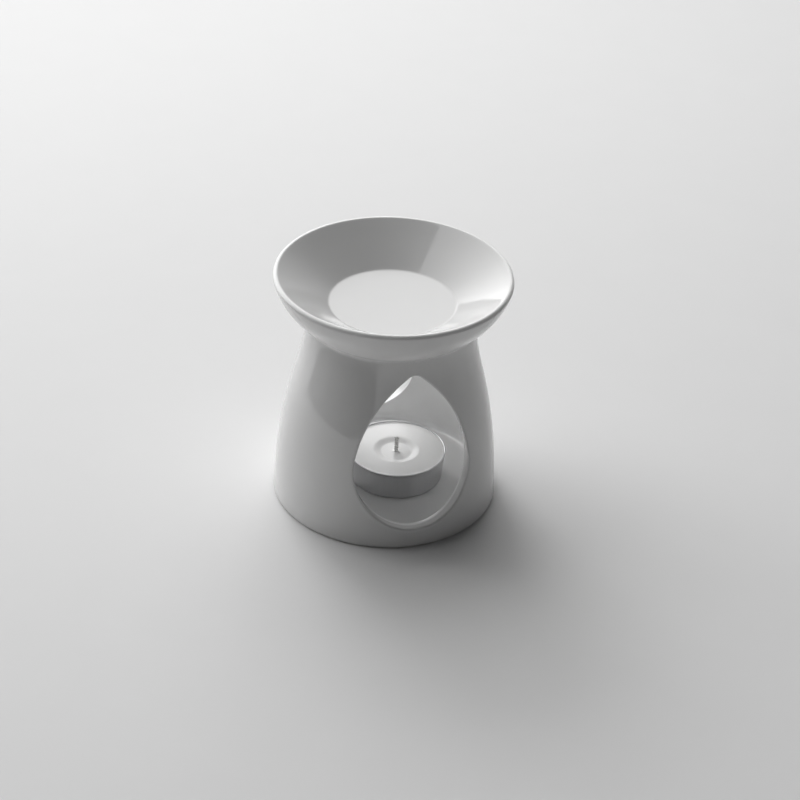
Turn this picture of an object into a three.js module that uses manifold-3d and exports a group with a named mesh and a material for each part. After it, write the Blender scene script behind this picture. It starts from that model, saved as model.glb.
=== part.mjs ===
// A small ceramic oil burner: a bell-shaped burner body with a window at the front and
// one at the back, an oil dish stuck to its neck, and a tealight standing on its floor.
//
// Units are millimetres, +Z is up, the origin is the middle of the foot ring on the
// table, and the front window faces -Y.

import * as THREE from 'three';
import { mergeVertices } from 'three/addons/utils/BufferGeometryUtils.js';
import Module from 'manifold-3d';

// Burner body: one fair wall curve from the foot to the neck, with a floor cast in.
const BODY_HEIGHT = 76.5; // table to the seat of the dish
const FOOT_RADIUS = 43.3; // outside, where the wall curve meets the table
const NECK_RADIUS = 32.2; // outside, where the dish sits
const BELLY_LEAN = 1.3; // how far the wall leans in over the height below
const BELLY_HEIGHT = 47; // handle of the wall curve above the foot
const NECK_LENGTH = 19.5; // handle of the wall curve below the neck
const WALL = 4.9; // measured level, at every height
const FLOOR_HEIGHT = 5; // table to the floor that the tealight stands on
const FLOOR_FILLET = 3; // inside corner between floor and wall
const FOOT_EDGE = 1.2; // rounding of the outside bottom edge
const FOOT_RING_WIDTH = 4; // flat ring that stands on the table
const FOOT_RECESS = 1.2; // hollow under the floor, inside the foot ring
const WINDOW_EDGE = 1; // rounding of both edges of a window

// Windows: a teardrop of three fair arcs, cut level through the wall.
const FRONT_WINDOW = { radius: 22.5, centre: 30.4, top: 69.8, tipRadius: 3.5, flankRadius: 58, faces: 0 };
const BACK_WINDOW = { radius: 19.2, centre: 29.2, top: 64, tipRadius: 5, flankRadius: 44, faces: Math.PI };

// Oil dish: flat-bottomed bowl with a straight sloping side and a rounded lip.
const DISH_RADIUS = 45; // outside of the lip
const DISH_HEIGHT = 18.5; // seat to the top of the lip
const LIP_THICKNESS = 3.2;
const DISH_FLOOR_RADIUS = 24;
const DISH_FLOOR_THICKNESS = 6.2;
const DISH_FLOOR_FILLET = 2.5; // inside corner between the dish's floor and its side

// Tealight: a drawn aluminium cup with a rolled rim, filled with wax round a wick.
const TEALIGHT_PLACE = { x: 4.2, y: -0.7 }; // where it stands on the floor
const CUP_RADIUS = 19.25; // outside of the rolled rim
const CUP_HEIGHT = 11.7;
const CUP_BASE_RADIUS = 18.2;
const CUP_CORNER = 1.2; // outside corner between base and side
const CUP_SHEET = 0.3; // thickness of the aluminium
const RIM_ROLL = 0.5; // radius of the rolled rim's section
const WAX_BELOW_RIM = 0.7;
const WAX_GAP = 0.2; // between the wax and the cup, and round the wick and its tab
const DIMPLE_RADIUS = 9.4; // shallow sink in the wax round the wick
const DIMPLE_FLOOR_RADIUS = 5.6;
const DIMPLE_DEPTH = 0.9;
const WICK_RADIUS = 0.7;
const WICK_ABOVE_WAX = 6.6; // above the floor of the sink
const TAB_RADIUS = 6.5; // tin tab that holds the wick upright on the cup's base
const TAB_SHEET = 0.3;
const TAB_NECK_HEIGHT = 4;

// Facets round each kind of piece.
const POTTERY_SIDES = 76;
const CUP_SIDES = 44;
const WICK_SIDES = 12;

const wasm = await Module();
wasm.setup();

const point = (x, y) => new THREE.Vector2(x, y);

// Points along an arc; angles in degrees, both ends included.
function arc(centreX, centreY, radius, fromDegrees, toDegrees, steps) {
  const points = [];
  for (let i = 0; i <= steps; i += 1) {
    const angle = THREE.MathUtils.degToRad(fromDegrees + ((toDegrees - fromDegrees) * i) / steps);
    points.push(point(centreX + radius * Math.cos(angle), centreY + radius * Math.sin(angle)));
  }
  return points;
}

// A solid of revolution about +Z; the profile runs (radius, height) from the bottom up.
function revolve(profile, sides) {
  return new THREE.LatheGeometry(profile, sides).rotateX(Math.PI / 2);
}

// The outside of the body's wall, from the table to the neck.
const wallCurve = new THREE.CubicBezierCurve(
  point(FOOT_RADIUS, 0),
  point(FOOT_RADIUS - BELLY_LEAN, BELLY_HEIGHT),
  point(NECK_RADIUS, BODY_HEIGHT - NECK_LENGTH),
  point(NECK_RADIUS, BODY_HEIGHT),
);

// Outside radius of the wall at a height, by halving the stretch of curve that holds it.
function wallRadius(height) {
  let low = 0;
  let high = 1;
  for (let i = 0; i < 40; i += 1) {
    const middle = (low + high) / 2;
    if (wallCurve.getPoint(middle).y < height) low = middle;
    else high = middle;
  }
  return wallCurve.getPoint(low).x;
}

const innerRadius = (height) => wallRadius(height) - WALL;

// Heights spread evenly between two levels, both included.
function levels(low, high, steps) {
  return Array.from({ length: steps + 1 }, (_, i) => low + ((high - low) * i) / steps);
}

// The body before its windows are cut: foot ring, wall, neck, chamber and floor.
function bodyBlank() {
  const ringOuter = wallRadius(FOOT_EDGE) - FOOT_EDGE;
  const ringInner = ringOuter - FOOT_RING_WIDTH;
  const chamberCorner = FLOOR_HEIGHT + FLOOR_FILLET;
  const cornerRadius = innerRadius(chamberCorner);
  const profile = [
    point(0, FOOT_RECESS),
    point(ringInner - FOOT_RECESS, FOOT_RECESS),
    point(ringInner, 0),
    ...arc(ringOuter, FOOT_EDGE, FOOT_EDGE, -90, 0, 4),
    ...levels(FOOT_EDGE, BODY_HEIGHT, 13).slice(1).map((z) => point(wallRadius(z), z)),
    ...levels(BODY_HEIGHT, chamberCorner, 10).map((z) => point(innerRadius(z), z)),
    ...arc(cornerRadius - FLOOR_FILLET, chamberCorner, FLOOR_FILLET, 0, -90, 4).slice(1),
    point(0, FLOOR_HEIGHT),
  ];
  return revolve(profile, POTTERY_SIDES);
}

// A window's outline seen square on, widened all round by grow, as (x, height) points.
// Its bottom arc and its tip are centred on x = 0, and each flank arc touches both.
function windowOutline(window, grow) {
  const { radius, centre, top, tipRadius, flankRadius } = window;
  const tipCentre = top - tipRadius;
  const rise = tipCentre - centre;
  const toBottom = flankRadius - radius;
  const toTip = flankRadius - tipRadius;
  const flankUp = (toBottom ** 2 - toTip ** 2 + rise ** 2) / (2 * rise);
  const flankOut = Math.sqrt(toBottom ** 2 - flankUp ** 2);
  const meetsBottom = THREE.MathUtils.radToDeg(Math.atan2(-flankUp, flankOut));
  const meetsTip = THREE.MathUtils.radToDeg(Math.atan2(rise - flankUp, flankOut));
  const rightHalf = [
    ...arc(0, centre, radius + grow, -90, meetsBottom, 12),
    ...arc(-flankOut, centre + flankUp, flankRadius + grow, meetsBottom, meetsTip, 10).slice(1),
    ...arc(0, tipCentre, tipRadius + grow, meetsTip, 90, 4).slice(1),
  ];
  const leftHalf = rightHalf.slice(1, -1).reverse().map((p) => point(-p.x, p.y));
  return [...rightHalf, ...leftHalf];
}

// The block that cuts a window. Its sections follow the curved wall and flare at both
// faces of it, which leaves the window's edges rounded as the glaze rounds them.
function windowCutter(window) {
  const outside = (x, z) => Math.sqrt(wallRadius(z) ** 2 - x ** 2);
  const inside = (x, z) => Math.sqrt(innerRadius(z) ** 2 - x ** 2);
  const flares = levels(0, Math.PI / 2, 4).map((angle) => ({
    grow: WINDOW_EDGE * (1 - Math.sin(angle)),
    deep: WINDOW_EDGE * (1 - Math.cos(angle)),
  }));
  const sections = [
    { grow: WINDOW_EDGE, reach: () => FOOT_RADIUS + WALL },
    ...flares.map(({ grow, deep }) => ({ grow, reach: (x, z) => outside(x, z) - deep })),
    ...flares.toReversed().map(({ grow, deep }) => ({ grow, reach: (x, z) => inside(x, z) + deep })),
    { grow: WINDOW_EDGE, reach: () => 0 },
  ];
  const loops = sections.map(({ grow, reach }) => windowOutline(window, grow)
    .map((p) => new THREE.Vector3(p.x, -reach(p.x, p.y), p.y)));
  return loft(loops).rotateZ(window.faces);
}

// A closed skin through loops of equally many points, from the nearest to the furthest
// along +Y, each running anticlockwise seen from -Y, and capped at both ends.
function loft(loops) {
  const count = loops[0].length;
  const last = (loops.length - 1) * count;
  const index = [];
  for (let row = 0; row < last; row += count) {
    for (let j = 0; j < count; j += 1) {
      const [a, b] = [row + j, row + ((j + 1) % count)];
      index.push(a, a + count, b, b, a + count, b + count);
    }
  }
  const outline = loops[0].map((p) => point(p.x, p.z));
  for (const [a, b, c] of THREE.ShapeUtils.triangulateShape(outline, [])) {
    index.push(a, b, c, last + a, last + c, last + b);
  }
  return new THREE.BufferGeometry().setFromPoints(loops.flat()).setIndex(index);
}

// A geometry as a manifold-3d solid, and back.
function toSolid(geometry) {
  const bare = new THREE.BufferGeometry();
  bare.setAttribute('position', geometry.getAttribute('position').clone());
  if (geometry.index) bare.setIndex(geometry.index.clone());
  const welded = mergeVertices(bare, 1e-4);
  return new wasm.Manifold(new wasm.Mesh({
    numProp: 3,
    vertProperties: new Float32Array(welded.getAttribute('position').array),
    triVerts: new Uint32Array(welded.index.array),
  }));
}

function toGeometry(solid) {
  const { vertProperties, triVerts } = solid.getMesh();
  const geometry = new THREE.BufferGeometry();
  geometry.setAttribute('position', new THREE.BufferAttribute(vertProperties, 3));
  geometry.setIndex(new THREE.BufferAttribute(triVerts, 1));
  geometry.computeVertexNormals();
  return geometry;
}

function burnerBody() {
  const blank = toSolid(bodyBlank());
  const cutters = [FRONT_WINDOW, BACK_WINDOW].map((window) => toSolid(windowCutter(window)));
  return toGeometry(wasm.Manifold.difference([blank, ...cutters]));
}

// The dish is drawn from its seat: under the bowl, round the lip, down to the floor.
function oilDish() {
  const lip = LIP_THICKNESS / 2;
  const lipCentre = point(DISH_RADIUS - lip, DISH_HEIGHT - lip);
  const floor = DISH_FLOOR_THICKNESS;
  const bowl = new THREE.CubicBezierCurve(
    point(NECK_RADIUS, 0),
    point(NECK_RADIUS + 0.38 * (DISH_RADIUS - NECK_RADIUS), 0.18 * DISH_HEIGHT),
    point(DISH_RADIUS - 0.18 * (DISH_RADIUS - NECK_RADIUS), 0.5 * DISH_HEIGHT),
    point(lipCentre.x + lip * Math.cos(Math.PI / 6), lipCentre.y - lip * Math.sin(Math.PI / 6)),
  );
  const sideRise = lipCentre.y - floor;
  const sideRun = lipCentre.x - lip - DISH_FLOOR_RADIUS;
  const slope = THREE.MathUtils.radToDeg(Math.atan2(sideRise, sideRun));
  const tangent = DISH_FLOOR_FILLET * Math.tan(THREE.MathUtils.degToRad(slope / 2));
  const profile = [
    point(0, 0),
    ...bowl.getPoints(9),
    ...arc(lipCentre.x, lipCentre.y, lip, -30, 90 + slope, 10).slice(1),
    ...arc(DISH_FLOOR_RADIUS - tangent, floor + DISH_FLOOR_FILLET, DISH_FLOOR_FILLET, slope - 90, -90, 4),
    point(0, floor),
  ];
  return revolve(profile, POTTERY_SIDES);
}

// Inside radius of the cup's side at a height above its base.
function cupBore(height) {
  const top = CUP_RADIUS - 2 * RIM_ROLL;
  const share = (height - CUP_CORNER) / (CUP_HEIGHT - RIM_ROLL - CUP_CORNER);
  return THREE.MathUtils.lerp(CUP_BASE_RADIUS, top + CUP_SHEET, share) - CUP_SHEET;
}

function tealightCup() {
  const rollCentre = point(CUP_RADIUS - RIM_ROLL, CUP_HEIGHT - RIM_ROLL);
  const corner = CUP_CORNER - CUP_SHEET;
  const profile = [
    point(0, 0),
    ...arc(CUP_BASE_RADIUS - CUP_CORNER, CUP_CORNER, CUP_CORNER, -90, 0, 3),
    point(cupBore(rollCentre.y - RIM_ROLL) + CUP_SHEET, rollCentre.y - RIM_ROLL),
    ...arc(rollCentre.x, rollCentre.y, RIM_ROLL, -60, 180, 8),
    ...arc(CUP_BASE_RADIUS - CUP_CORNER, CUP_CORNER, corner, 0, -90, 3),
    point(0, CUP_SHEET),
  ];
  return revolve(profile, CUP_SIDES);
}

// The wax is a ring round the wick, hollow underneath for the tab and its neck.
function tealightWax() {
  const top = CUP_HEIGHT - WAX_BELOW_RIM;
  const corner = CUP_CORNER + WAX_GAP;
  const neck = tabNeckRadius() + WAX_GAP;
  const tabTop = CUP_SHEET + TAB_SHEET + WAX_GAP;
  const neckTop = CUP_SHEET + TAB_NECK_HEIGHT + WAX_GAP;
  const bore = WICK_RADIUS + WAX_GAP;
  const profile = [
    point(TAB_RADIUS + WAX_GAP, CUP_SHEET),
    point(cupBore(corner) - corner, CUP_SHEET),
    point(cupBore(corner) - WAX_GAP, corner),
    point(cupBore(top) - WAX_GAP, top),
    ...dimple(top).reverse(),
    point(bore, neckTop),
    point(neck, neckTop),
    point(neck, tabTop),
    point(TAB_RADIUS + WAX_GAP, tabTop),
    point(TAB_RADIUS + WAX_GAP, CUP_SHEET),
  ];
  return revolve(profile, CUP_SIDES);
}

// The sink in the wax, from the wick out: a flat floor, then half a cosine wave up.
function dimple(top) {
  const slope = levels(DIMPLE_FLOOR_RADIUS, DIMPLE_RADIUS, 6).map((radius) => {
    const share = (radius - DIMPLE_FLOOR_RADIUS) / (DIMPLE_RADIUS - DIMPLE_FLOOR_RADIUS);
    return point(radius, top - (DIMPLE_DEPTH * (1 + Math.cos(Math.PI * share))) / 2);
  });
  return [point(WICK_RADIUS + WAX_GAP, top - DIMPLE_DEPTH), ...slope];
}

const tabNeckRadius = () => WICK_RADIUS + WAX_GAP + TAB_SHEET;

// The tab stands on the cup's base: a flat disc drawn up into a neck round the wick.
function wickTab() {
  const bore = WICK_RADIUS + WAX_GAP;
  const profile = [
    point(bore, CUP_SHEET),
    point(TAB_RADIUS, CUP_SHEET),
    point(TAB_RADIUS, CUP_SHEET + TAB_SHEET),
    point(tabNeckRadius(), CUP_SHEET + TAB_SHEET),
    point(tabNeckRadius(), CUP_SHEET + TAB_NECK_HEIGHT),
    point(bore, CUP_SHEET + TAB_NECK_HEIGHT),
    point(bore, CUP_SHEET),
  ];
  return revolve(profile, CUP_SIDES / 2);
}

function wick() {
  const top = CUP_HEIGHT - WAX_BELOW_RIM - DIMPLE_DEPTH + WICK_ABOVE_WAX;
  const tip = WICK_RADIUS / 2;
  const profile = [
    point(0, CUP_SHEET),
    point(WICK_RADIUS, CUP_SHEET),
    ...arc(WICK_RADIUS - tip, top - tip, tip, 0, 90, 3),
    point(0, top),
  ];
  return revolve(profile, WICK_SIDES);
}

const glaze = () => new THREE.MeshStandardMaterial({ color: 0xe6e6e4, roughness: 0.12, metalness: 0 });
const aluminium = new THREE.MeshStandardMaterial({ color: 0xb4b5b8, roughness: 0.3, metalness: 1 });
const wax = new THREE.MeshStandardMaterial({ color: 0xecebe8, roughness: 0.45, metalness: 0 });
const cotton = new THREE.MeshStandardMaterial({ color: 0xc9c7c2, roughness: 0.95, metalness: 0 });
const tin = new THREE.MeshStandardMaterial({ color: 0xa8a9ab, roughness: 0.35, metalness: 1 });

function named(name, geometry, material) {
  const mesh = new THREE.Mesh(geometry, material);
  mesh.name = name;
  return mesh;
}

const burner = new THREE.Group();
burner.add(named('burner_body', burnerBody(), glaze()));

const dish = named('oil_dish', oilDish(), glaze());
dish.position.z = BODY_HEIGHT;
burner.add(dish);

const tealight = new THREE.Group();
tealight.position.set(TEALIGHT_PLACE.x, TEALIGHT_PLACE.y, FLOOR_HEIGHT);
tealight.add(
  named('tealight_cup', tealightCup(), aluminium),
  named('tealight_wax', tealightWax(), wax),
  named('tealight_wick', wick(), cotton),
  named('wick_tab', wickTab(), tin),
);
burner.add(tealight);

export default burner;
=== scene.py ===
"""A small glazed ceramic oil burner with a tealight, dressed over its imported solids.

Lengths are metres, +Z is up, the origin is the middle of the foot ring on the table and
the front window faces -Y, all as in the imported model.
"""
import math

import bmesh
import bpy
import numpy as np
from mathutils import Matrix, Vector


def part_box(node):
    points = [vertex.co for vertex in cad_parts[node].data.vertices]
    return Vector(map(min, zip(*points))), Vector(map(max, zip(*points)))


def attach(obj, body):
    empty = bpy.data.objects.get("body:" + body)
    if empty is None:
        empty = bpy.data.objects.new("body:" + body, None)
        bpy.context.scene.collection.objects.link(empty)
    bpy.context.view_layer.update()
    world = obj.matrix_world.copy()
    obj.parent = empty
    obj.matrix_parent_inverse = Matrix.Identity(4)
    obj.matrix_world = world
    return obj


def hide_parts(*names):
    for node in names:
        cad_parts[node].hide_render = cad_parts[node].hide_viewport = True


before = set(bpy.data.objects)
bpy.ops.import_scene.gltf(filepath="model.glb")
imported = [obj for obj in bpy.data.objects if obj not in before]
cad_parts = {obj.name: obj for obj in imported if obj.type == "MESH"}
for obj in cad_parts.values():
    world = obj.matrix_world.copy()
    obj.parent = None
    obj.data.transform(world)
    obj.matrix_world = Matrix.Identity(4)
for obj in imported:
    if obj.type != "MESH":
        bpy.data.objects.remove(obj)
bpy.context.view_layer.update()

# The photograph's camera stands a metre away, looks down at 35 degrees with a long lens,
# and has the front window turned a little to its right. It was held slightly askew. The
# lens and the sensor are in millimetres.
CAMERA_DISTANCE = 0.9825
CAMERA_ELEVATION = math.radians(34.91)
CAMERA_TURN = math.radians(-17.4)
CAMERA_TILT = math.radians(1.92)
CAMERA_PAN = math.radians(0.28)
CAMERA_ROLL = math.radians(2.78)
FOCAL_LENGTH = 112.5
SENSOR_WIDTH = 36


def put_in_scene(name, data):
    """A new object with this camera, lamp or mesh, linked to the scene."""
    made = bpy.data.objects.new(name, data)
    bpy.context.scene.collection.objects.link(made)
    return made


camera_data = bpy.data.cameras.new("camera")
camera_data.lens = FOCAL_LENGTH
camera_data.sensor_width = SENSOR_WIDTH
camera = put_in_scene("camera", camera_data)
bpy.context.scene.camera = camera

photo_heading = Matrix.Rotation(CAMERA_TURN, 4, "Z")
camera_stand = Vector((
    0,
    -CAMERA_DISTANCE * math.cos(CAMERA_ELEVATION),
    CAMERA_DISTANCE * math.sin(CAMERA_ELEVATION),
))
camera.matrix_world = (
    photo_heading
    @ Matrix.Translation(camera_stand)
    @ Matrix.Rotation(math.pi / 2 - CAMERA_ELEVATION + CAMERA_TILT, 4, "X")
    @ Matrix.Rotation(-CAMERA_PAN, 4, "Y")
    @ Matrix.Rotation(CAMERA_ROLL, 4, "Z")
)

# The studio: one big softbox leans in over the table from behind the burner's left. A small
# lamp near it shines in through the back window, and the glaze doesn't mirror that one. The
# camera sees neither.
def softbox(name, turn, rise, distance, width, height, brightness):
    """A lamp panel that faces the burner. Its turn is counted from the camera's side, its
    rise from the table, both in degrees, and its brightness is that of its surface."""
    panel = bpy.data.lights.new(name, "AREA")
    panel.shape = "RECTANGLE"
    panel.size = width
    panel.size_y = height
    panel.energy = brightness * math.pi * width * height
    stand = put_in_scene(name, panel)
    towards = Vector((
        math.sin(math.radians(turn)) * math.cos(math.radians(rise)),
        -math.cos(math.radians(turn)) * math.cos(math.radians(rise)),
        math.sin(math.radians(rise)),
    ))
    facing = towards.to_track_quat("Z", "Y").to_matrix().to_4x4()
    stand.matrix_world = photo_heading @ Matrix.Translation(distance * towards) @ facing
    stand.visible_camera = False
    return stand


softbox(
    "key_softbox", turn=-146, rise=39, distance=1.9, width=3.3, height=2.95, brightness=2.25
)
back_lamp = softbox(
    "back_softbox", turn=-156, rise=38, distance=1.4, width=0.5, height=0.5, brightness=7.0
)
back_lamp.visible_glossy = False

bpy.context.scene.view_settings.view_transform = "Standard"


# The table is one wide sheet of pale matte paper. Far out it fades into the pale room, for
# the camera and in mirror images only.
class Wire:
    """The output of a shader node. Sums and products of wires add Math nodes."""

    def __init__(self, socket):
        self.socket = socket

    def node(self, kind, settings, inputs, output=0):
        """Adds a node, sets it up, feeds its sockets and returns the wire from it."""
        made = self.socket.id_data.nodes.new(kind)
        for name, value in settings.items():
            setattr(made, name, value)
        feed(made, inputs)
        return Wire(made.outputs[output])

    def maths(self, operation, first, second):
        return self.node("ShaderNodeMath", {"operation": operation}, {0: first, 1: second})

    def __add__(self, other):
        return self.maths("ADD", self, other)

    def __sub__(self, other):
        return self.maths("SUBTRACT", self, other)

    def __rsub__(self, other):
        return self.maths("SUBTRACT", other, self)

    def __mul__(self, other):
        return self.maths("MULTIPLY", self, other)

    __radd__ = __add__
    __rmul__ = __mul__


def feed(node, inputs):
    """Gives a node's sockets their links or their plain values."""
    for name, value in inputs.items():
        if isinstance(value, Wire):
            node.id_data.links.new(value.socket, node.inputs[name])
        else:
            node.inputs[name].default_value = value


def new_finish(name):
    """A material, its Principled shader, and the wire of its object coordinates."""
    material = bpy.data.materials.new(name)
    material.use_nodes = True
    shader = material.node_tree.nodes["Principled BSDF"]
    places = material.node_tree.nodes.new("ShaderNodeTexCoord")
    return material, shader, Wire(places.outputs["Object"])


def noise(place, scale, detail=2.0):
    """Soft blotches from 0 to 1, with this many to the metre."""
    settings = {"Vector": place, "Scale": scale, "Detail": detail}
    return place.node("ShaderNodeTexNoise", {}, settings)


def grey(tone, blue=0.0):
    """A neutral colour, or one with this much more blue."""
    return tone, tone, tone + blue, 1


# The Mix node has sockets for numbers, vectors and colours. These are the colours' places.
MIX_LOW = 6
MIX_HIGH = 7
MIX_RESULT = 2


def mixed(share, low, high):
    """A colour between two, by a wire from 0 to 1."""
    inputs = {"Factor": share, MIX_LOW: low, MIX_HIGH: high}
    return share.node("ShaderNodeMix", {"data_type": "RGBA"}, inputs, MIX_RESULT)


def distance(place, middle):
    """The wire of how far a place is from a point."""
    inputs = {0: place, 1: middle}
    return place.node("ShaderNodeVectorMath", {"operation": "DISTANCE"}, inputs, "Value")


def ramp(value, start, end):
    """A smooth step from 0 to 1 as the value goes from start to end."""
    settings = {"interpolation_type": "SMOOTHSTEP"}
    inputs = {"Value": value, "From Min": start, "From Max": end}
    return value.node("ShaderNodeMapRange", settings, inputs)


def is_seen(wire):
    """1 for the camera and in mirror images and glass, and 0 for light on its way."""
    rays = ("Is Camera Ray", "Is Glossy Ray", "Is Transmission Ray")
    return sum(wire.node("ShaderNodeLightPath", {}, {}, name) for name in rays)


PAPER_RADIUS = 4.0
PAPER_TONE = 0.735
PAPER_BLOTCHES = 0.02
ROOM_TONE = 0.62
FADE_START = 0.2
FADE_END = 1.2

paper_finish, paper_shader, paper_place = new_finish("paper")
paper_far = ramp(distance(paper_place, (0, 0, 0)), FADE_START, FADE_END)
paper_loss = paper_far + PAPER_BLOTCHES * noise(paper_place, 40)
feed(paper_shader, {
    "Base Color": mixed(paper_loss, grey(PAPER_TONE), grey(0)),
    "Roughness": 0.75,
    "Emission Color": mixed(paper_far * is_seen(paper_place), grey(0), grey(ROOM_TONE)),
    "Emission Strength": 1.0,
})
paper_mesh = bpy.data.meshes.new("paper")
paper_shape = bmesh.new()
bmesh.ops.create_circle(paper_shape, cap_ends=True, segments=128, radius=PAPER_RADIUS)
paper_shape.to_mesh(paper_mesh)
paper = put_in_scene("paper", paper_mesh)
paper.data.materials.append(paper_finish)

# Beyond the paper the room is pale near the horizon and dark overhead. Only the camera and
# mirror images show the pale part, and the rest gives next to no light. The limits of the
# two are sines of the angle over the horizon.
ROOM_DARK = 0.045
PALE_BELOW = 0.35
DARK_ABOVE = 0.7


def coordinate(place, axis):
    """The wire of a place's X, Y or Z."""
    return place.node("ShaderNodeSeparateXYZ", {}, {"Vector": place}, axis)


room = bpy.data.worlds.new("room")
bpy.context.scene.world = room
room.use_nodes = True
room_shader = room.node_tree.nodes["Background"]
room_place = Wire(room.node_tree.nodes.new("ShaderNodeTexCoord").outputs["Generated"])
pale_part = ramp(coordinate(room_place, "Z"), DARK_ABOVE, PALE_BELOW) * is_seen(room_place)
feed(room_shader, {"Color": mixed(pale_part, grey(ROOM_DARK), grey(ROOM_TONE))})

# A bent black card hangs on the left of the burner as a painted reflection: it is there
# only to lay a dark patch in the glaze's mirror image on the body's front left. Nothing but
# that mirror image shows it, so it casts no shadow and the camera doesn't see it. Its turns,
# in degrees, are counted from the camera's side.
CARD_DISTANCE = 0.1
CARD_LOW = 0.033
CARD_HIGH = 0.08
CARD_START = -92
CARD_END = -12
CARD_COLUMNS = 17

card_shape = bmesh.new()
card_edge = []
for turn in np.radians(np.linspace(CARD_START, CARD_END, CARD_COLUMNS)):
    x, y = CARD_DISTANCE * math.sin(turn), -CARD_DISTANCE * math.cos(turn)
    card_edge.append([card_shape.verts.new((x, y, height)) for height in (CARD_LOW, CARD_HIGH)])
for (low, high), (next_low, next_high) in zip(card_edge, card_edge[1:]):
    card_shape.faces.new((low, next_low, next_high, high))
card_mesh = bpy.data.meshes.new("card")
card_shape.to_mesh(card_mesh)
card = put_in_scene("card", card_mesh)
card.matrix_world = photo_heading
for seen_by in ("camera", "diffuse", "transmission", "volume_scatter", "shadow"):
    setattr(card, "visible_" + seen_by, False)
card_finish, card_shader, card_place = new_finish("dark_reflection_card")
feed(card_shader, {
    "Base Color": mixed(noise(card_place, 60), grey(0.015), grey(0.025)),
    "Roughness": 0.9,
})
card.data.materials.append(card_finish)


# The burner body is one slip-cast shell, wall, floor and foot ring together, with a
# teardrop window cut through its front and its back while the clay was soft. A white
# glaze covers all but the foot ring and rounds every edge.
MM = 0.001
BODY_HEIGHT = 76.5 * MM
FOOT_RADIUS = 43.3 * MM
NECK_RADIUS = 32.2 * MM
BELLY_LEAN = 1.3 * MM
BELLY_HEIGHT = 47 * MM
NECK_LENGTH = 19.5 * MM
WALL = 4.9 * MM
FLOOR_HEIGHT = 5 * MM
FLOOR_FILLET = 3 * MM
FOOT_EDGE = 1.2 * MM
FOOT_RING_WIDTH = 4 * MM
FOOT_RECESS = 1.2 * MM
GLAZE_CREASE = 2 * MM
CREASE_DROP = 1.07 * MM
CREASE_END = 124
NECK_REACH = 0.4 * MM
OUTER_WINDOW_EDGE = 1 * MM
INNER_WINDOW_EDGE = 0.3 * MM

# Each side of a window is three arcs: the round foot, which has the window's radius and
# centre, a long flank and a small tip. The back window is turned half a turn from the front.
FRONT_WINDOW = {
    "radius": 22.5 * MM,
    "centre": 30.4 * MM,
    "flank": 58 * MM,
    "tip": 3.5 * MM,
    "top": 69.8 * MM,
    "half_turns": 0,
}
BACK_WINDOW = {
    "radius": 19.2 * MM,
    "centre": 29.2 * MM,
    "flank": 44 * MM,
    "tip": 5 * MM,
    "top": 64 * MM,
    "half_turns": 1,
}

# The mesh has this many columns all round. Round each window, a patch that spans so many
# columns to either side of its middle is laid in rings that follow the outline instead.
COLUMNS = 288
PATCH_COLUMNS = 42
PATCH_ROWS = 66
PATCH_LOW = 3.5 * MM
PATCH_HIGH = 73.5 * MM
PATCH_RINGS = 12
EDGE_STEPS = 5
ROW_BELOW = 0.8 * MM
ROW_ABOVE = 0.7 * MM
FLOOR_STRIP = 1 * MM
CURVE_POINTS = 500


def bezier(corners, count):
    """Points along a cubic curve with four handles, both ends included."""
    t = np.linspace(0, 1, count)[:, None]
    a, b, c, d = np.array(corners)
    return (1 - t) ** 3 * a + 3 * (1 - t) ** 2 * t * b + 3 * (1 - t) * t ** 2 * c + t ** 3 * d


def arc(middle, radius, start, end, count):
    """Points along an arc, angles in degrees, both ends included."""
    angles = np.radians(np.linspace(start, end, count))
    return np.array(middle) + radius * np.stack([np.cos(angles), np.sin(angles)], axis=1)


wall_curve = bezier([
    (FOOT_RADIUS, 0),
    (FOOT_RADIUS - BELLY_LEAN, BELLY_HEIGHT),
    (NECK_RADIUS, BODY_HEIGHT - NECK_LENGTH),
    (NECK_RADIUS, BODY_HEIGHT),
], 600)


def wall_points(low, high, count, inwards=0):
    """Points (radius, height) up the wall's outside, or so far inwards of it."""
    heights = np.linspace(low, high, count)
    radii = np.interp(heights, wall_curve[:, 1], wall_curve[:, 0]) - inwards
    return np.stack([radii, heights], axis=1)


class Skin:
    """One face of the wall between two levels, measured by the share of its length."""

    def __init__(self, points):
        steps = np.hypot(*np.diff(points, axis=0).T)
        self.shares = np.concatenate([[0], np.cumsum(steps)]) / steps.sum()
        self.radii, self.heights = points.T

    def at(self, share):
        radii = np.interp(share, self.shares, self.radii)
        heights = np.interp(share, self.shares, self.heights)
        return radii, heights

    def share_at(self, height):
        return np.interp(height, self.heights, self.shares)

    def radius_at(self, height):
        return np.interp(height, self.heights, self.radii)


corner_height = FLOOR_HEIGHT + FLOOR_FILLET
corner_radius = wall_points(corner_height, corner_height, 1, WALL)[0, 0] - FLOOR_FILLET
outside = Skin(wall_points(PATCH_LOW, PATCH_HIGH, CURVE_POINTS))
inside = Skin(np.concatenate([
    [(corner_radius - FLOOR_STRIP, FLOOR_HEIGHT)],
    arc((corner_radius, corner_height), FLOOR_FILLET, -90, 0, 60),
    wall_points(corner_height, PATCH_HIGH, CURVE_POINTS, WALL)[1:],
]))


def turned(profile, columns, leave_out=lambda row, column: False):
    """Points and faces of a profile turned round +Z. Column 0 is at the front."""
    angles = np.arange(columns) * 2 * math.pi / columns
    radii, heights = np.array(profile).T
    points = np.stack([
        np.outer(radii, np.sin(angles)),
        -np.outer(radii, np.cos(angles)),
        np.repeat(heights[:, None], columns, axis=1),
    ], axis=-1).reshape(-1, 3)
    faces = []
    for row in range(len(radii) - 1):
        for column in range(columns):
            if leave_out(row, column):
                continue
            here = row * columns
            above = here + columns
            beside = (column + 1) % columns
            faces.append((here + column, here + beside, above + beside, above + column))
    return points, faces


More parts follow.
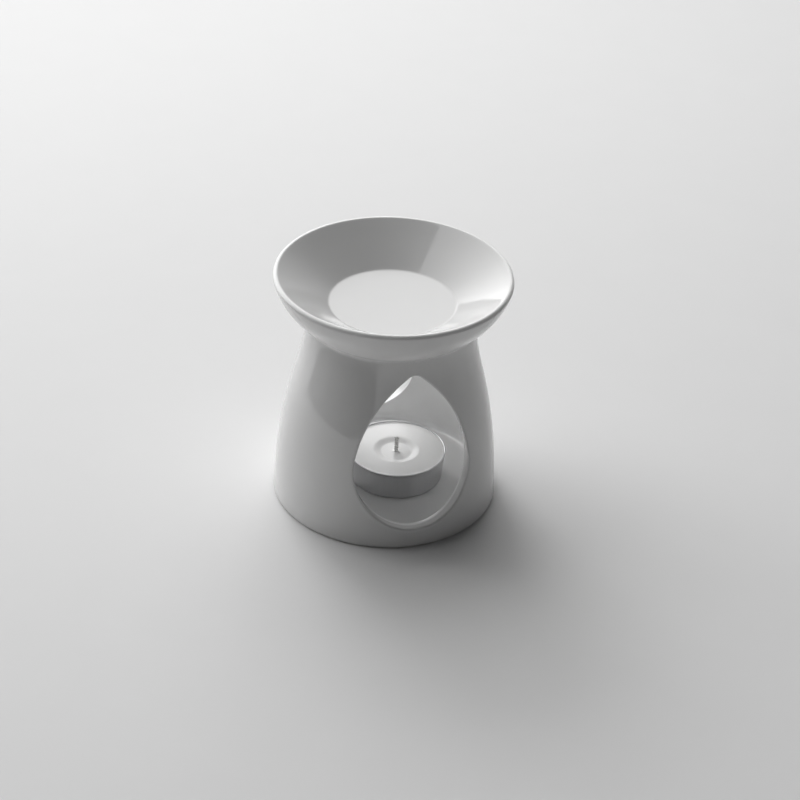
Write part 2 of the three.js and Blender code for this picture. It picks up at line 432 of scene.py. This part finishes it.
def make_piece(name, points, faces):
    """A smooth closed mesh of these points and faces, as an object."""
    mesh = bpy.data.meshes.new(name)
    mesh.from_pydata(np.array(points).tolist(), [], faces)
    shape = bmesh.new()
    shape.from_mesh(mesh)
    bmesh.ops.remove_doubles(shape, verts=shape.verts, dist=1e-7)
    bmesh.ops.recalc_face_normals(shape, faces=shape.faces)
    for face in shape.faces:
        face.smooth = True
    shape.to_mesh(mesh)
    return put_in_scene(name, mesh)


def teardrop(window, count):
    """A window's outline anticlockwise from its lowest point, and its outward normals."""
    radius, tip, flank = window["radius"], window["tip"], window["flank"]
    tip_centre = window["top"] - tip
    rise = tip_centre - window["centre"]
    flank_up = ((flank - radius) ** 2 - (flank - tip) ** 2 + rise ** 2) / (2 * rise)
    flank_out = math.sqrt((flank - radius) ** 2 - flank_up ** 2)
    low_turn = math.degrees(math.atan2(-flank_up, flank_out))
    high_turn = math.degrees(math.atan2(rise - flank_up, flank_out))
    sides = [
        ((0, window["centre"]), radius, -90, low_turn),
        ((-flank_out, window["centre"] + flank_up), flank, low_turn, high_turn),
        ((0, tip_centre), tip, high_turn, 90),
    ]
    points = np.concatenate([arc(*side, 300) for side in sides])
    normals = np.concatenate([arc((0, 0), 1, *side[2:], 300) for side in sides])
    steps = np.hypot(*np.diff(points, axis=0).T)
    shares = np.concatenate([[0], np.cumsum(steps)]) / steps.sum()
    wanted = np.linspace(0, 1, count // 2 + 1)
    half = np.stack([np.interp(wanted, shares, line) for line in (*points.T, *normals.T)], axis=1)
    other_half = half[-2:0:-1] * (-1, 1, -1, 1)
    whole = np.concatenate([half, other_half])
    return whole[:, :2], whole[:, 2:]


# The profile runs from the middle of the underside out to the foot ring, up the wall,
# over the neck under the dish, down the inside and back to the middle of the floor. The
# glaze fills the corner under the dish with an arc, and the neck reaches into the dish.
ring_outer = wall_points(FOOT_EDGE, FOOT_EDGE, 1)[0, 0] - FOOT_EDGE
ring_inner = ring_outer - FOOT_RING_WIDTH
ring_bend = 0.3 * MM
crease_centre = (NECK_RADIUS + GLAZE_CREASE, BODY_HEIGHT - CREASE_DROP)
neck_inner = NECK_RADIUS - WALL
share_rows = np.linspace(0, 1, PATCH_ROWS + 1)
below = np.concatenate([
    [(0, FOOT_RECESS), (20 * MM, FOOT_RECESS), (ring_inner - 2 * FOOT_RECESS, FOOT_RECESS)],
    arc((ring_inner - FOOT_RECESS, 0), FOOT_RECESS, 90, 12, 6),
    [(ring_inner + ring_bend, 0), (ring_outer - ring_bend, 0)],
    arc((ring_outer, FOOT_EDGE), FOOT_EDGE, -90, 0, 8),
    wall_points(PATCH_LOW - 2 * ROW_BELOW, PATCH_LOW - ROW_BELOW, 2),
])
neck = np.concatenate([
    wall_points(PATCH_HIGH + ROW_ABOVE, PATCH_HIGH + 2 * ROW_ABOVE, 2),
    arc(crease_centre, GLAZE_CREASE, 180, CREASE_END, 9),
    [(NECK_RADIUS, BODY_HEIGHT + NECK_REACH)],
    [(neck_inner + NECK_REACH / 2, BODY_HEIGHT + NECK_REACH / 4)],
    wall_points(BODY_HEIGHT - NECK_REACH / 2, PATCH_HIGH + ROW_ABOVE, 4, WALL),
])
floor_radii = (corner_radius - 4 * FLOOR_STRIP, corner_radius / 2, 0)
floor = [(radius, FLOOR_HEIGHT) for radius in floor_radii]
outside_rows = np.stack(outside.at(share_rows), axis=1)
inside_rows = np.stack(inside.at(share_rows), axis=1)
body_profile = np.concatenate([below, outside_rows, neck, inside_rows[::-1], floor])

outside_start = len(below)
outside_end = outside_start + PATCH_ROWS
inside_start = outside_end + 1 + len(neck)
inside_end = inside_start + PATCH_ROWS


def in_a_patch(row, column):
    """True for the faces near a window, which are laid round its outline instead."""
    from_middle = min(abs(column + 0.5 - middle) for middle in (0, COLUMNS / 2, COLUMNS))
    on_a_skin = outside_start <= row < outside_end or inside_start <= row < inside_end
    return from_middle < PATCH_COLUMNS and on_a_skin


body_points, body_faces = turned(body_profile, COLUMNS, in_a_patch)
body_points = list(body_points)
across, up = PATCH_COLUMNS, PATCH_ROWS
patch_border = np.array(
    [(0, column) for column in range(across)]
    + [(row, across) for row in range(up)]
    + [(up, column) for column in range(across, -across, -1)]
    + [(row, -across) for row in range(up, 0, -1)]
    + [(0, column) for column in range(-across, 0)]
)


def add_ring(ring, half_turns):
    """Adds a ring of points, seen from the front or turned to the back, to the body."""
    first = len(body_points)
    side = 1 - 2 * half_turns
    body_points.extend(ring * (side, side, 1))
    return list(range(first, first + len(ring)))


def bridge(ring, next_ring):
    """Faces between two rings of equally many points."""
    for here in range(len(ring)):
        before = here - 1
        body_faces.append((ring[before], ring[here], next_ring[here], next_ring[before]))


def lay_skin(skin, border_rows, outline, half_turns):
    """Lays rings over one face of the wall from the patch's border in to the window."""
    x, z = outline.T
    rim = np.stack([np.arcsin(x / skin.radius_at(z)), skin.share_at(z)], axis=1)
    border = np.stack([
        patch_border[:, 1] * 2 * math.pi / COLUMNS,
        patch_border[:, 0] / PATCH_ROWS,
    ], axis=1)
    columns = (patch_border[:, 1] + half_turns * COLUMNS // 2) % COLUMNS
    ring = (border_rows * COLUMNS + columns).tolist()
    for step in range(1, PATCH_RINGS + 1):
        share = math.sin(math.pi / 2 * step / PATCH_RINGS)
        angle, level = ((1 - share) * border + share * rim).T
        radius, height = skin.at(level)
        laid = np.stack([radius * np.sin(angle), -radius * np.cos(angle), height], axis=1)
        next_ring = add_ring(laid, half_turns)
        bridge(ring, next_ring)
        ring = next_ring
    return ring


for window in (FRONT_WINDOW, BACK_WINDOW):
    half_turns = window["half_turns"]
    outline, normals = teardrop(window, len(patch_border))
    rings = []
    jamb = []
    for skin, border, edge_radius, inward in (
        (outside, outside_start + patch_border[:, 0], OUTER_WINDOW_EDGE, -1),
        (inside, inside_end - patch_border[:, 0], INNER_WINDOW_EDGE, 1),
    ):
        rings.append(lay_skin(skin, border, outline + edge_radius * normals, half_turns))
        edge = []
        for step in range(1, EDGE_STEPS + 1):
            turn = math.pi / 2 * step / EDGE_STEPS
            x, z = (outline + edge_radius * (1 - math.sin(turn)) * normals).T
            depth = inward * edge_radius * (1 - math.cos(turn))
            reach = np.sqrt(skin.radius_at(z) ** 2 - x ** 2) + depth
            edge.append(np.stack([x, -reach, z], axis=1))
        jamb.append(edge)
    outer_ring, inner_ring = rings
    outer_edge, inner_edge = jamb
    jamb_depth = inner_edge[-1] - outer_edge[-1]
    between = [outer_edge[-1] + jamb_depth * share for share in (0.25, 0.5, 0.75)]
    ring = outer_ring
    for laid in outer_edge + between + inner_edge[::-1]:
        next_ring = add_ring(laid, half_turns)
        bridge(ring, next_ring)
        ring = next_ring
    bridge(ring, inner_ring)

body = make_piece("glazed_body", body_points, body_faces)


def bump(heights, depth, below=None):
    """A normal that follows a wire of heights, on top of another bump where one is given."""
    inputs = {"Height": heights, "Distance": depth}
    if below:
        inputs["Normal"] = below
    return heights.node("ShaderNodeBump", {}, inputs)


BARE_BLUR = 0.3 * MM
TONE_BLUR = 0.5 * MM


def glaze(name, foot_height, tone, painted_shading_tone, inner_height, cone_radius, cone_lean, index):
    """White gloss glaze over pale clay, which is bare below foot_height. Above inner_height
    and inside a cone that runs up the middle of the wall, the glaze takes its second tone,
    which is painted light where it is lighter than the first and painted shade where darker.
    The cone's radius is that at the table's level, and its lean is its gain per height."""
    material, shader, place = new_finish(name)
    blotches = noise(place, 55)
    runs = noise(place, 95, 1.0)
    grain = noise(place, 900)
    height = coordinate(place, "Z")
    bare = ramp(height + 0.2 * MM * blotches, foot_height + BARE_BLUR, foot_height)
    biscuit = mixed(grain, (0.60, 0.59, 0.57, 1), (0.68, 0.67, 0.65, 1))
    flattened = {0: place, 1: (1, 1, 0)}
    level_place = place.node("ShaderNodeVectorMath", {"operation": "MULTIPLY"}, flattened)
    from_axis = distance(level_place, (0, 0, 0))
    past_cone = from_axis - cone_lean * height - cone_radius
    inside = ramp(past_cone, TONE_BLUR, -TONE_BLUR)
    above = ramp(height, inner_height - 2 * TONE_BLUR, inner_height + 2 * TONE_BLUR)
    # Painted light in the chamber and painted shade in the dish: the tone moves to the second tone
    # inside the cone and above the height.
    shade = tone + (painted_shading_tone - tone) * (inside * above) + 0.02 * blotches
    channels = {"Red": shade, "Green": shade, "Blue": shade - 0.003}
    glazed = place.node("ShaderNodeCombineColor", {}, channels)
    feed(shader, {
        "IOR": index,
        "Base Color": mixed(bare, glazed, biscuit),
        "Roughness": 0.06 + 0.03 * blotches + 0.7 * bare,
        "Normal": bump(grain * bare, 0.1 * MM, bump(runs, 0.06 * MM)),
    })
    return material


# One glaze is given a tone of its own in each place, as painted light and shade: lighter
# inside the chamber than outside the body, darker inside the dish than under it, and the
# dish's underside lighter than the body's outside. The tones make up for the photograph,
# which compresses what is light. The index is higher than a real glaze's, for mirror
# images as strong as in the photograph.
body.data.materials.append(glaze(
    "body_glaze",
    foot_height=0.45 * MM,
    tone=0.735,
    painted_shading_tone=0.97,
    inner_height=FLOOR_HEIGHT,
    cone_radius=41 * MM,
    cone_lean=-0.15,
    index=1.7,
))
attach(body, "burner")
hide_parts("burner_body")

# The oil dish is a second casting, stuck to the neck with slip and glazed over with it.
# Its underside flares from the neck to a round lip and its side slopes to a flat floor.
DISH_RADIUS = 45 * MM
DISH_HEIGHT = 18.5 * MM
LIP_THICKNESS = 2.5 * MM
DISH_FLOOR_RADIUS = 24 * MM
DISH_FLOOR_THICKNESS = 6.2 * MM
DISH_FLOOR_FILLET = 2.5 * MM

# The handles of the underside's curve, as shares of the flare and of the dish's height.
NECK_HANDLE = (0.38, 0.18)
LIP_HANDLE = (0.18, 0.5)

lip = LIP_THICKNESS / 2
lip_centre = (DISH_RADIUS - lip, BODY_HEIGHT + DISH_HEIGHT - lip)
dish_floor = BODY_HEIGHT + DISH_FLOOR_THICKNESS
flare = DISH_RADIUS - NECK_RADIUS
side_run = lip_centre[0] - lip - DISH_FLOOR_RADIUS
slope = math.degrees(math.atan2(lip_centre[1] - dish_floor, side_run))
tangent = DISH_FLOOR_FILLET * math.tan(math.radians(slope / 2))
fillet_centre = (DISH_FLOOR_RADIUS - tangent, dish_floor + DISH_FLOOR_FILLET)
lip_arc = arc(lip_centre, lip, -30, 90 + slope, 22)
floor_arc = arc(fillet_centre, DISH_FLOOR_FILLET, slope - 90, -90, 14)
side = np.linspace(lip_arc[-1], floor_arc[0], 16)[1:-1]
underside = bezier([
    (NECK_RADIUS, BODY_HEIGHT),
    (NECK_RADIUS + NECK_HANDLE[0] * flare, BODY_HEIGHT + NECK_HANDLE[1] * DISH_HEIGHT),
    (DISH_RADIUS - LIP_HANDLE[0] * flare, BODY_HEIGHT + LIP_HANDLE[1] * DISH_HEIGHT),
    lip_arc[0],
], 30)
dish_profile = np.concatenate([
    [(0, BODY_HEIGHT), (15 * MM, BODY_HEIGHT), (NECK_RADIUS - 0.4 * MM, BODY_HEIGHT)],
    underside,
    lip_arc[1:],
    side,
    floor_arc,
    [(12 * MM, dish_floor), (0, dish_floor)],
])
dish = make_piece("glazed_dish", *turned(dish_profile, COLUMNS))
# Painted shade: inside the dish the glaze is darker than under it, and under it lighter than on
# the body.
dish.data.materials.append(glaze(
    "dish_glaze",
    foot_height=-1.0,
    tone=0.82,
    painted_shading_tone=0.625,
    inner_height=79.5 * MM,
    cone_radius=-58 * MM,
    cone_lean=1.07,
    index=1.45,
))
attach(dish, "burner")
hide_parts("oil_dish")

# The tealight's cup is drawn from thin aluminium sheet, which leaves fine upright marks
# down its side, and its rim is rolled outwards.
CUP_HEIGHT = 11.7 * MM
CUP_RADIUS = 19.25 * MM
CUP_BASE_RADIUS = 18.2 * MM
CUP_CORNER = 1.2 * MM
CUP_SHEET = 0.3 * MM
BASE_LIFT = 0.5 * MM
LIFTED_RADIUS = 15.2 * MM
STANDING_RADIUS = 15.9 * MM
RIM_ROLL = 0.3 * MM
CUP_COLUMNS = 192

cup_low, cup_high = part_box("tealight_cup")
cup_place = Vector(((cup_low.x + cup_high.x) / 2, (cup_low.y + cup_high.y) / 2, cup_low.z))


def stand_in_cup(points):
    """Moves points drawn about the cup's own axis to where the tealight stands."""
    return np.array(points) + np.array(cup_place)


roll_centre = (CUP_RADIUS - RIM_ROLL, CUP_HEIGHT - RIM_ROLL)
roll_foot = (roll_centre[0] - RIM_ROLL + CUP_SHEET, roll_centre[1] - RIM_ROLL)
base_centre = (CUP_BASE_RADIUS - CUP_CORNER, CUP_CORNER)
cup_profile = np.concatenate([
    [(0, BASE_LIFT), (LIFTED_RADIUS, BASE_LIFT)],
    [(STANDING_RADIUS, 0), (STANDING_RADIUS + 0.5 * MM, 0)],
    arc(base_centre, CUP_CORNER, -90, 0, 10),
    np.linspace((CUP_BASE_RADIUS, CUP_CORNER), roll_foot, 12)[1:],
    arc(roll_centre, RIM_ROLL, -60, 180, 16),
    arc(base_centre, CUP_CORNER - CUP_SHEET, 0, -90, 6),
    [(0, BASE_LIFT + CUP_SHEET)],
])
cup_points, cup_faces = turned(cup_profile, CUP_COLUMNS)
cup = make_piece("aluminium_cup", stand_in_cup(cup_points), cup_faces)

# The draw marks follow the turn about the cup's axis, and change little on the way up.
cup_finish, cup_shader, cup_coords = new_finish("cup_aluminium")
cup_x, cup_y, cup_z = [coordinate(cup_coords, axis) for axis in "XYZ"]
cup_turn = cup_coords.maths("ARCTAN2", cup_y - cup_place.y, cup_x - cup_place.x)
cup_level = cup_z - cup_place.z
marks_place = {"X": 30 * cup_turn, "Y": 60 * cup_level}
draw_marks = noise(cup_coords.node("ShaderNodeCombineXYZ", {}, marks_place), 1.0, 3.0)
cup_dents = noise(cup_coords, 160, 1.0)
feed(cup_shader, {
    "Base Color": mixed(draw_marks, grey(0.60, 0.01), grey(0.66, 0.01)),
    "Metallic": 1.0,
    "Roughness": 0.28 + 0.06 * draw_marks,
    "Normal": bump(draw_marks, 0.004 * MM, bump(cup_dents, 0.06 * MM)),
})
cup.data.materials.append(cup_finish)
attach(cup, "tealight")
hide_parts("tealight_cup")

# The wax was poured into the cup. It has crept up the cup's side a little, sunk to a
# shallow flat pool in the middle as it set, and drawn up round the foot of the wick.
WAX_BELOW_RIM = 0.7 * MM
WAX_GAP = 0.2 * MM
DIMPLE_RADIUS = 9.4 * MM
DIMPLE_FLOOR_RADIUS = 5.6 * MM
DIMPLE_DEPTH = 0.9 * MM
WAX_CREEP = 0.35 * MM
WICK_FOOT = 0.3 * MM
WICK_RADIUS = 0.7 * MM
CREEP_REACH = 0.5 * MM
UNDER_WICK = 0.4 * MM
WAX_FOOT = 1.1 * MM
WAX_FOOT_RADIUS = 17.6 * MM
WAX_FOOT_INSET = 1.1 * MM
WAX_FOOT_CORNER = 0.9 * MM
WAX_EDGE_STEP = 0.4 * MM

wax_level = CUP_HEIGHT - WAX_BELOW_RIM
wax_edge = roll_foot[0] - CUP_SHEET - WAX_GAP / 2
sink_radii = np.linspace(UNDER_WICK, wax_edge, 90)
sink_share = (sink_radii - DIMPLE_FLOOR_RADIUS) / (DIMPLE_RADIUS - DIMPLE_FLOOR_RADIUS)
sink = DIMPLE_DEPTH * (1 + np.cos(math.pi * np.clip(sink_share, 0, 1))) / 2
creep = WAX_CREEP * np.exp((sink_radii - wax_edge) / CREEP_REACH)
foot_rise = WICK_FOOT * np.exp((WICK_RADIUS - sink_radii) / CREEP_REACH)
wax_top = np.stack([sink_radii, wax_level - sink + creep + foot_rise], axis=1)
wax_profile = np.concatenate([
    [(0, WAX_FOOT), (WAX_FOOT_RADIUS - WAX_FOOT_INSET, WAX_FOOT)],
    [(WAX_FOOT_RADIUS, WAX_FOOT + WAX_FOOT_CORNER), (wax_edge, wax_level - WAX_EDGE_STEP)],
    wax_top[::-1],
    [(0, wax_top[0, 1])],
])
wax_points, wax_faces = turned(wax_profile, CUP_COLUMNS)
wax = make_piece("poured_wax", stand_in_cup(wax_points), wax_faces)

wax_finish, wax_shader, wax_coords = new_finish("wax")
wax_clouds = noise(wax_coords, 130)
wax_ripple = noise(wax_coords, 220, 1.0)
from_wick = distance(wax_coords, cup_place + Vector((0, 0, wax_level)))
frosted = ramp(from_wick, 0.8 * DIMPLE_FLOOR_RADIUS, 1.1 * DIMPLE_FLOOR_RADIUS)
feed(wax_shader, {
    "Base Color": mixed(wax_clouds, grey(0.95, -0.005), grey(0.975, -0.005)),
    "Roughness": 0.07 + 0.05 * wax_clouds + 0.25 * frosted,
    "IOR": 1.43,
    "Subsurface Weight": 0.2,
    "Subsurface Radius": (1.0, 1.0, 1.0),
    "Subsurface Scale": 3 * MM,
    "Normal": bump(wax_ripple, 0.05 * MM),
})
wax.data.materials.append(wax_finish)
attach(wax, "tealight")
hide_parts("tealight_wax")

# The wick is braided from three cotton cords and stiffened with wax. It stands in the
# tin tab on the cup's base, and its top is cut off square.
STRAND_RADIUS = 0.42 * MM
BRAID_WIDTH = 0.52 * MM
BRAID_DEPTH = 0.2 * MM
BRAID_PITCH = 3.2 * MM
STRANDS = 3
STRAND_LEVELS = 90
STRAND_SIDES = 10

wick_low, wick_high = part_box("tealight_wick")
levels = np.linspace(0, wick_high.z - wick_low.z, STRAND_LEVELS)
section_turns = 2 * math.pi * np.arange(STRAND_SIDES) / STRAND_SIDES
section = STRAND_RADIUS * np.stack(
    [np.cos(section_turns), np.sin(section_turns), np.zeros(STRAND_SIDES)], axis=1
)
wick_points = []
wick_faces = []
for strand in range(STRANDS):
    phase = 2 * math.pi * (levels / BRAID_PITCH + strand / STRANDS)
    path = np.stack([BRAID_WIDTH * np.sin(phase), BRAID_DEPTH * np.sin(2 * phase), levels], axis=1)
    first = len(wick_points)
    last = first + (STRAND_LEVELS - 1) * STRAND_SIDES
    for middle in path:
        wick_points.extend(middle + section)
    for here in range(first, last, STRAND_SIDES):
        above = here + STRAND_SIDES
        for corner in range(STRAND_SIDES):
            beside = (corner + 1) % STRAND_SIDES
            wick_faces.append((here + corner, here + beside, above + beside, above + corner))
    wick_faces.append(tuple(range(first, first + STRAND_SIDES)))
    wick_faces.append(tuple(range(last, last + STRAND_SIDES)))
wick_place = np.array((
    (wick_low.x + wick_high.x) / 2,
    (wick_low.y + wick_high.y) / 2,
    wick_low.z,
))
wick = make_piece("braided_wick", np.array(wick_points) + wick_place, wick_faces)

cotton_finish, cotton_shader, cotton_coords = new_finish("cotton")
fibres = noise(cotton_coords, 5200, 3.0)
feed(cotton_shader, {
    "Base Color": mixed(fibres, (0.92, 0.915, 0.90, 1), (0.97, 0.965, 0.95, 1)),
    "Roughness": 0.62 + 0.2 * fibres,
    "Normal": bump(fibres, 0.02 * MM),
})
wick.data.materials.append(cotton_finish)
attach(wick, "tealight")
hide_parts("tealight_wick")

# The wick's tab is stamped from tinplate and holds the wick's foot on the cup's base. It is
# out of sight inside the wax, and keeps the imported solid's shape.
tin_finish, tin_shader, tin_coords = new_finish("tinplate")
tin_marks = noise(tin_coords, 1500)
feed(tin_shader, {
    "Base Color": mixed(tin_marks, grey(0.55, 0.01), grey(0.68, 0.01)),
    "Metallic": 1.0,
    "Roughness": 0.25 + 0.15 * tin_marks,
})
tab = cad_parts["wick_tab"]
tab.data.materials.clear()
tab.data.materials.append(tin_finish)
